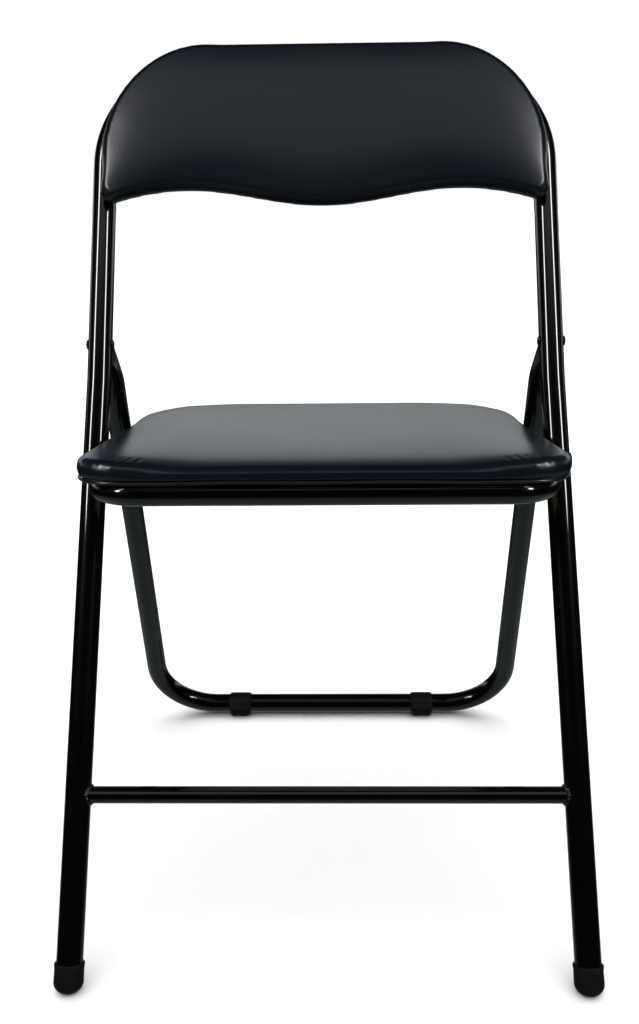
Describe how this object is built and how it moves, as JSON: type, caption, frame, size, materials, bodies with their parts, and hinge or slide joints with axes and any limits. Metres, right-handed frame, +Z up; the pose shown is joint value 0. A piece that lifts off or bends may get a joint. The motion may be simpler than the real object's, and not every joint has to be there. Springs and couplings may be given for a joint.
{
  "type": "folding chair",
  "caption": "Folding chair with a bent steel tube frame, padded backrest and padded seat; the seat tips up and the rear legs fold in along the front legs.",
  "frame": {"origin": "on the floor, at the middle of the chair's footprint when it is open", "axes": "+Z up; the sitter faces -Y; +X is towards the sitter's left hand"},
  "size_m": [0.4552, 0.48, 0.7785],
  "materials": {
    "enamel": "gloss black stove enamel on steel",
    "vinyl": "smooth vinyl-coated cloth, charcoal black, fine leather grain, satin",
    "plywood": "bare beech plywood",
    "back_board": "plywood with a matt black painted back",
    "foot_rubber": "matt black moulded rubber",
    "glide_rubber": "matt black moulded rubber",
    "zinc": "bright zinc-plated steel"
  },
  "bodies": {
    "front_frame": {"front_frame_tube": "enamel", "front_crossbar": "enamel", "backrest_board": "back_board", "backrest_cushion": "vinyl", "backrest_screw_1": "zinc", "backrest_screw_2": "zinc", "backrest_screw_3": "zinc", "backrest_screw_4": "zinc", "front_foot_left": "foot_rubber", "front_foot_right": "foot_rubber", "backrest_tab_left": "enamel", "backrest_tab_right": "enamel", "upper_pivot_rivet_left": "enamel", "upper_pivot_rivet_right": "enamel", "seat_pivot_bolt_left": "zinc", "seat_pivot_bolt_right": "zinc", "seat_pivot_spacer_left": "zinc", "seat_pivot_spacer_right": "zinc"},
    "seat": {"seat_frame_tube": "enamel", "seat_board": "plywood", "seat_cushion": "vinyl", "seat_screw_1": "zinc", "seat_screw_2": "zinc", "seat_screw_3": "zinc", "seat_screw_4": "zinc", "seat_ear_left": "enamel", "seat_ear_right": "enamel", "seat_ear_pin_left": "zinc", "seat_ear_pin_right": "zinc"},
    "rear_frame": {"rear_frame_tube": "enamel", "rear_glide_left": "glide_rubber", "rear_glide_right": "glide_rubber", "link_pin_left": "zinc", "link_pin_right": "zinc", "link_washer_left": "zinc", "link_washer_right": "zinc"},
    "link_left": {"seat_link_left": "enamel", "link_upper_rivet_left": "enamel"},
    "link_right": {"seat_link_right": "enamel", "link_upper_rivet_right": "enamel"}
  },
  "joints": [
    {"name": "seat_fold", "type": "hinge", "parent": "front_frame", "child": "seat", "pos_m": [0, -0.05316, 0.40555], "axis": [-1, 0, 0], "range_deg": [0, 107.8]},
    {"name": "rear_leg_fold", "type": "hinge", "parent": "front_frame", "child": "rear_frame", "pos_m": [0, -0.00886, 0.50645], "axis": [-1, 0, 0], "range_deg": [0, 46.88]},
    {"name": "link_left_swing", "type": "hinge", "parent": "rear_frame", "child": "link_left", "pos_m": [0.192, 0.06501, 0.39131], "axis": [1, 0, 0], "range_deg": [0, 60.78]},
    {"name": "link_right_swing", "type": "hinge", "parent": "rear_frame", "child": "link_right", "pos_m": [-0.192, 0.06501, 0.39131], "axis": [1, 0, 0], "range_deg": [0, 60.78]}
  ],
  "couplings": [
    {"joint": "rear_leg_fold", "follows": "seat_fold", "ratio": 0.43482},
    {"joint": "link_left_swing", "follows": "seat_fold", "ratio": 0.56376},
    {"joint": "link_right_swing", "follows": "seat_fold", "ratio": 0.56376}
  ]
}
